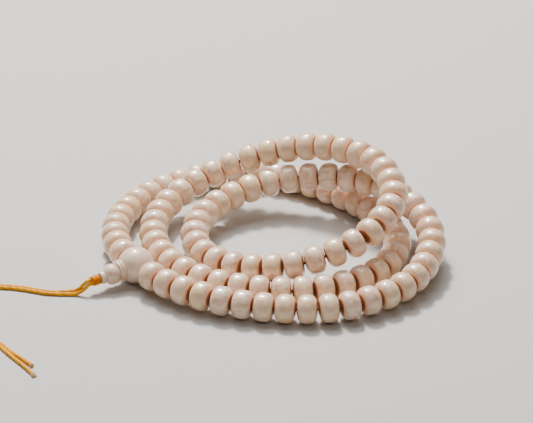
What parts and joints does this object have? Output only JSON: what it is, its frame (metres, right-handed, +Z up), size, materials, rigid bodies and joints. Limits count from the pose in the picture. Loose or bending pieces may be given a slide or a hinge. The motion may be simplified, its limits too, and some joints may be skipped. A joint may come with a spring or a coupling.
{
  "type": "mala prayer beads",
  "caption": "Loop of glossy ivory-coloured barrel beads on a golden cord, closed by a round guru bead, a turned tower bead and a knotted cord tail, lying in a coil.",
  "frame": {"origin": "on the table, under the middle of the coil's own box, with the knot and the free cord tails left out", "axes": "+Z is up from the table, +X runs along the coil's longest side away from the guru bead, and the guru bead and the cord tails lie at low X and low Y"},
  "size_m": [0.1705, 0.1435, 0.0312],
  "materials": {
    "bead_ivory": "gloss",
    "guru_ivory": "gloss",
    "tower_ivory": "gloss",
    "golden_cord": "matte",
    "knot_cord": "matte"
  },
  "bodies": {
    "strand": {"stringing_cord": "golden_cord", "bead_run_001_015": "bead_ivory", "bead_run_016_030": "bead_ivory", "bead_run_031_045": "bead_ivory", "bead_run_072_086": "bead_ivory", "guru_bead": "guru_ivory", "tower_cord_a": "golden_cord", "tower_cord_b": "golden_cord", "tail_knot": "knot_cord", "tail_cord_a": "golden_cord", "tail_cord_b": "golden_cord"},
    "tower_bead": {"tower_bead": "tower_ivory"},
    "bead_046": {"bead_046": "bead_ivory"},
    "bead_047": {"bead_047": "bead_ivory"},
    "bead_048": {"bead_048": "bead_ivory"},
    "bead_049": {"bead_049": "bead_ivory"},
    "bead_050": {"bead_050": "bead_ivory"},
    "bead_051": {"bead_051": "bead_ivory"},
    "bead_052": {"bead_052": "bead_ivory"},
    "bead_053": {"bead_053": "bead_ivory"},
    "bead_054": {"bead_054": "bead_ivory"},
    "bead_055": {"bead_055": "bead_ivory"},
    "bead_056": {"bead_056": "bead_ivory"},
    "bead_057": {"bead_057": "bead_ivory"},
    "bead_058": {"bead_058": "bead_ivory"},
    "bead_059": {"bead_059": "bead_ivory"},
    "bead_060": {"bead_060": "bead_ivory"},
    "bead_061": {"bead_061": "bead_ivory"},
    "bead_062": {"bead_062": "bead_ivory"},
    "bead_063": {"bead_063": "bead_ivory"},
    "bead_064": {"bead_064": "bead_ivory"},
    "bead_065": {"bead_065": "bead_ivory"},
    "bead_066": {"bead_066": "bead_ivory"},
    "bead_067": {"bead_067": "bead_ivory"},
    "bead_068": {"bead_068": "bead_ivory"},
    "bead_069": {"bead_069": "bead_ivory"},
    "bead_070": {"bead_070": "bead_ivory"},
    "bead_071": {"bead_071": "bead_ivory"},
    "bead_087": {"bead_087": "bead_ivory"},
    "bead_088": {"bead_088": "bead_ivory"},
    "bead_089": {"bead_089": "bead_ivory"},
    "bead_090": {"bead_090": "bead_ivory"},
    "bead_091": {"bead_091": "bead_ivory"},
    "bead_092": {"bead_092": "bead_ivory"},
    "bead_093": {"bead_093": "bead_ivory"},
    "bead_094": {"bead_094": "bead_ivory"},
    "bead_095": {"bead_095": "bead_ivory"},
    "bead_096": {"bead_096": "bead_ivory"},
    "bead_097": {"bead_097": "bead_ivory"},
    "bead_098": {"bead_098": "bead_ivory"},
    "bead_099": {"bead_099": "bead_ivory"},
    "bead_100": {"bead_100": "bead_ivory"},
    "bead_101": {"bead_101": "bead_ivory"},
    "bead_102": {"bead_102": "bead_ivory"},
    "bead_103": {"bead_103": "bead_ivory"},
    "bead_104": {"bead_104": "bead_ivory"},
    "bead_105": {"bead_105": "bead_ivory"},
    "bead_106": {"bead_106": "bead_ivory"},
    "bead_107": {"bead_107": "bead_ivory"},
    "bead_108": {"bead_108": "bead_ivory"}
  },
  "joints": [
    {"name": "tower_spin", "type": "hinge", "parent": "strand", "child": "tower_bead", "pos_m": [-0.0463, -0.02169, 0.0063], "axis": [-0.8551, -0.5078, -0.1045], "continuous": true},
    {"name": "bead_046_spin", "type": "hinge", "parent": "strand", "child": "bead_046", "pos_m": [-0.03219, 0.02778, 0.00925], "axis": [0.6475, 0.7388, 0.1871], "continuous": true},
    {"name": "bead_047_spin", "type": "hinge", "parent": "strand", "child": "bead_047", "pos_m": [-0.0271, 0.03266, 0.01075], "axis": [0.7601, 0.609, 0.2269], "continuous": true},
    {"name": "bead_048_spin", "type": "hinge", "parent": "strand", "child": "bead_048", "pos_m": [-0.02123, 0.03638, 0.0126], "axis": [0.8618, 0.421, 0.2831], "continuous": true},
    {"name": "bead_049_spin", "type": "hinge", "parent": "strand", "child": "bead_049", "pos_m": [-0.01478, 0.03849, 0.01487], "axis": [0.924, 0.1615, 0.3467], "continuous": true},
    {"name": "bead_050_spin", "type": "hinge", "parent": "strand", "child": "bead_050", "pos_m": [-0.00805, 0.03903, 0.01741], "axis": [0.9351, -0.0108, 0.3542], "continuous": true},
    {"name": "bead_051_spin", "type": "hinge", "parent": "strand", "child": "bead_051", "pos_m": [-0.00125, 0.03857, 0.01984], "axis": [0.9416, -0.1172, 0.3157], "continuous": true},
    {"name": "bead_052_spin", "type": "hinge", "parent": "strand", "child": "bead_052", "pos_m": [0.00556, 0.03732, 0.02193], "axis": [0.9384, -0.2274, 0.2601], "continuous": true},
    {"name": "bead_053_spin", "type": "hinge", "parent": "strand", "child": "bead_053", "pos_m": [0.01226, 0.03522, 0.02363], "axis": [0.9115, -0.3525, 0.2118], "continuous": true},
    {"name": "bead_054_spin", "type": "hinge", "parent": "strand", "child": "bead_054", "pos_m": [0.0187, 0.03221, 0.02495], "axis": [0.8655, -0.4772, 0.1522], "continuous": true},
    {"name": "bead_055_spin", "type": "hinge", "parent": "strand", "child": "bead_055", "pos_m": [0.02476, 0.02838, 0.02581], "axis": [0.8082, -0.5827, 0.0852], "continuous": true},
    {"name": "bead_056_spin", "type": "hinge", "parent": "strand", "child": "bead_056", "pos_m": [0.0303, 0.02376, 0.02621], "axis": [0.7217, -0.6918, 0.0234], "continuous": true},
    {"name": "bead_057_spin", "type": "hinge", "parent": "strand", "child": "bead_057", "pos_m": [0.03496, 0.01828, 0.02612], "axis": [0.5654, -0.8235, -0.046], "continuous": true},
    {"name": "bead_058_spin", "type": "hinge", "parent": "strand", "child": "bead_058", "pos_m": [0.03844, 0.012, 0.02553], "axis": [0.3968, -0.9104, -0.1173], "continuous": true},
    {"name": "bead_059_spin", "type": "hinge", "parent": "strand", "child": "bead_059", "pos_m": [0.04069, 0.00523, 0.02451], "axis": [0.2259, -0.9598, -0.1664], "continuous": true},
    {"name": "bead_060_spin", "type": "hinge", "parent": "strand", "child": "bead_060", "pos_m": [0.04138, -0.00177, 0.02317], "axis": [-0.0352, -0.9781, -0.205], "continuous": true},
    {"name": "bead_061_spin", "type": "hinge", "parent": "strand", "child": "bead_061", "pos_m": [0.04011, -0.00863, 0.02162], "axis": [-0.3169, -0.9217, -0.2236], "continuous": true},
    {"name": "bead_062_spin", "type": "hinge", "parent": "strand", "child": "bead_062", "pos_m": [0.03716, -0.01498, 0.01993], "axis": [-0.5, -0.8314, -0.2424], "continuous": true},
    {"name": "bead_063_spin", "type": "hinge", "parent": "strand", "child": "bead_063", "pos_m": [0.0329, -0.02045, 0.01805], "axis": [-0.6766, -0.6821, -0.2773], "continuous": true},
    {"name": "bead_064_spin", "type": "hinge", "parent": "strand", "child": "bead_064", "pos_m": [0.02738, -0.02447, 0.01595], "axis": [-0.8502, -0.4305, -0.3031], "continuous": true},
    {"name": "bead_065_spin", "type": "hinge", "parent": "strand", "child": "bead_065", "pos_m": [0.02097, -0.02695, 0.0138], "axis": [-0.9213, -0.2562, -0.2926], "continuous": true},
    {"name": "bead_066_spin", "type": "hinge", "parent": "strand", "child": "bead_066", "pos_m": [0.01418, -0.0284, 0.01179], "axis": [-0.9547, -0.1428, -0.2612], "continuous": true},
    {"name": "bead_067_spin", "type": "hinge", "parent": "strand", "child": "bead_067", "pos_m": [0.00719, -0.02886, 0.01006], "axis": [-0.976, 0.0142, -0.2174], "continuous": true},
    {"name": "bead_068_spin", "type": "hinge", "parent": "strand", "child": "bead_068", "pos_m": [0.00014, -0.02819, 0.00863], "axis": [-0.9691, 0.1723, -0.1765], "continuous": true},
    {"name": "bead_069_spin", "type": "hinge", "parent": "strand", "child": "bead_069", "pos_m": [-0.00675, -0.02636, 0.00755], "axis": [-0.9348, 0.3331, -0.1233], "continuous": true},
    {"name": "bead_070_spin", "type": "hinge", "parent": "strand", "child": "bead_070", "pos_m": [-0.01323, -0.0233, 0.00682], "axis": [-0.8553, 0.5121, -0.0785], "continuous": true},
    {"name": "bead_071_spin", "type": "hinge", "parent": "strand", "child": "bead_071", "pos_m": [-0.01889, -0.01891, 0.00639], "axis": [-0.7109, 0.7022, -0.0393], "continuous": true},
    {"name": "bead_087_spin", "type": "hinge", "parent": "strand", "child": "bead_087", "pos_m": [0.04397, 0.01435, 0.01488], "axis": [0.655, -0.7397, -0.1545], "continuous": true},
    {"name": "bead_088_spin", "type": "hinge", "parent": "strand", "child": "bead_088", "pos_m": [0.04836, 0.00875, 0.01361], "axis": [0.5559, -0.8072, -0.1985], "continuous": true},
    {"name": "bead_089_spin", "type": "hinge", "parent": "strand", "child": "bead_089", "pos_m": [0.05186, 0.00261, 0.01213], "axis": [0.4108, -0.8878, -0.2076], "continuous": true},
    {"name": "bead_090_spin", "type": "hinge", "parent": "strand", "child": "bead_090", "pos_m": [0.05394, -0.00411, 0.01074], "axis": [0.1653, -0.9699, -0.1789], "continuous": true},
    {"name": "bead_091_spin", "type": "hinge", "parent": "strand", "child": "bead_091", "pos_m": [0.05431, -0.01117, 0.00952], "axis": [-0.0649, -0.9855, -0.1569], "continuous": true},
    {"name": "bead_092_spin", "type": "hinge", "parent": "strand", "child": "bead_092", "pos_m": [0.05326, -0.01824, 0.00844], "axis": [-0.223, -0.9646, -0.1412], "continuous": true},
    {"name": "bead_093_spin", "type": "hinge", "parent": "strand", "child": "bead_093", "pos_m": [0.05114, -0.02507, 0.00748], "axis": [-0.364, -0.923, -0.1244], "continuous": true},
    {"name": "bead_094_spin", "type": "hinge", "parent": "strand", "child": "bead_094", "pos_m": [0.04791, -0.03147, 0.00667], "axis": [-0.5276, -0.8436, -0.1], "continuous": true},
    {"name": "bead_095_spin", "type": "hinge", "parent": "strand", "child": "bead_095", "pos_m": [0.0435, -0.03712, 0.00609], "axis": [-0.692, -0.7194, -0.0599], "continuous": true},
    {"name": "bead_096_spin", "type": "hinge", "parent": "strand", "child": "bead_096", "pos_m": [0.03811, -0.04192, 0.00575], "axis": [-0.7956, -0.6049, -0.0344], "continuous": true},
    {"name": "bead_097_spin", "type": "hinge", "parent": "strand", "child": "bead_097", "pos_m": [0.03208, -0.04589, 0.00554], "axis": [-0.8703, -0.4919, -0.0226], "continuous": true},
    {"name": "bead_098_spin", "type": "hinge", "parent": "strand", "child": "bead_098", "pos_m": [0.02554, -0.04895, 0.00538], "axis": [-0.9354, -0.353, -0.0224], "continuous": true},
    {"name": "bead_099_spin", "type": "hinge", "parent": "strand", "child": "bead_099", "pos_m": [0.01857, -0.05077, 0.00523], "axis": [-0.9885, -0.15, -0.0194], "continuous": true},
    {"name": "bead_100_spin", "type": "hinge", "parent": "strand", "child": "bead_100", "pos_m": [0.01137, -0.05128, 0.00512], "axis": [-0.9999, 0.0096, -0.0105], "continuous": true},
    {"name": "bead_101_spin", "type": "hinge", "parent": "strand", "child": "bead_101", "pos_m": [0.00415, -0.05084, 0.00508], "axis": [-0.9938, 0.1108, -0.0004], "continuous": true},
    {"name": "bead_102_spin", "type": "hinge", "parent": "strand", "child": "bead_102", "pos_m": [-0.00302, -0.04982, 0.00513], "axis": [-0.9849, 0.1726, 0.0131], "continuous": true},
    {"name": "bead_103_spin", "type": "hinge", "parent": "strand", "child": "bead_103", "pos_m": [-0.0101, -0.04831, 0.0053], "axis": [-0.9696, 0.2422, 0.0354], "continuous": true},
    {"name": "bead_104_spin", "type": "hinge", "parent": "strand", "child": "bead_104", "pos_m": [-0.01703, -0.04623, 0.0056], "axis": [-0.9418, 0.333, 0.0465], "continuous": true},
    {"name": "bead_105_spin", "type": "hinge", "parent": "strand", "child": "bead_105", "pos_m": [-0.02369, -0.04342, 0.00592], "axis": [-0.8953, 0.4435, 0.0413], "continuous": true},
    {"name": "bead_106_spin", "type": "hinge", "parent": "strand", "child": "bead_106", "pos_m": [-0.0299, -0.03975, 0.00615], "axis": [-0.8211, 0.5704, 0.023], "continuous": true},
    {"name": "bead_107_spin", "type": "hinge", "parent": "strand", "child": "bead_107", "pos_m": [-0.03556, -0.03524, 0.00628], "axis": [-0.7392, 0.6734, 0.0127], "continuous": true},
    {"name": "bead_108_spin", "type": "hinge", "parent": "strand", "child": "bead_108", "pos_m": [-0.0406, -0.03005, 0.00634], "axis": [-0.6528, 0.7575, 0.0043], "continuous": true}
  ]
}
